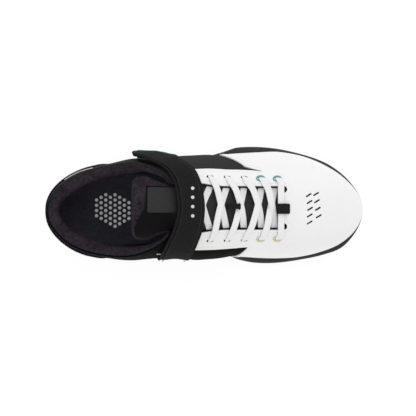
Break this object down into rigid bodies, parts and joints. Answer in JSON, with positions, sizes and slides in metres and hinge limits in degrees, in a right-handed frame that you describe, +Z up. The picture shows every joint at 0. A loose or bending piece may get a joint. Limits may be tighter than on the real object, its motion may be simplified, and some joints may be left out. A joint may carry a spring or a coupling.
{
  "type": "mountain bike shoe",
  "caption": "Low left mountain bike shoe: lugged rubber sole, light toe and eyestays, dark side panels, padded collar, laces and a strap that closes over them.",
  "frame": {"origin": "on the floor, under the centre of the shoe's bounding box", "axes": "+X to the toe, +Y to the outer side, which is the wearer's left, +Z up"},
  "size_m": [0.299, 0.1116, 0.1212],
  "materials": {
    "outsole_rubber": "matt",
    "midsole_foam": "matt",
    "side_textile": "matt weave",
    "light_skin": "smooth coated",
    "bumper_skin": "smooth coated",
    "counter_skin": "smooth coated",
    "insole_cloth": "matt",
    "tongue_cloth": "matt",
    "collar_cloth": "matt knit",
    "strap_cloth": "matt grain",
    "strap_base_cloth": "matt loop pile",
    "hook_tape": "matt",
    "lace": "matt weave",
    "webbing": "matt weave"
  },
  "bodies": {
    "root": {"outsole": "outsole_rubber", "midsole": "midsole_foam", "upper": "side_textile", "vamp_overlay": "light_skin", "toe_bumper": "bumper_skin", "heel_counter": "counter_skin", "insole": "insole_cloth", "tongue": "tongue_cloth", "collar_pad": "collar_cloth", "strap": "strap_cloth", "strap_base": "strap_base_cloth", "hook_tape": "hook_tape", "lace_bar": "lace", "lace_cross_1": "lace", "lace_cross_2": "lace", "lace_cross_3": "lace", "lace_cross_4": "lace", "lace_cross_5": "lace", "front_keeper": "webbing", "tongue_keeper": "webbing"}
  },
  "joints": []
}
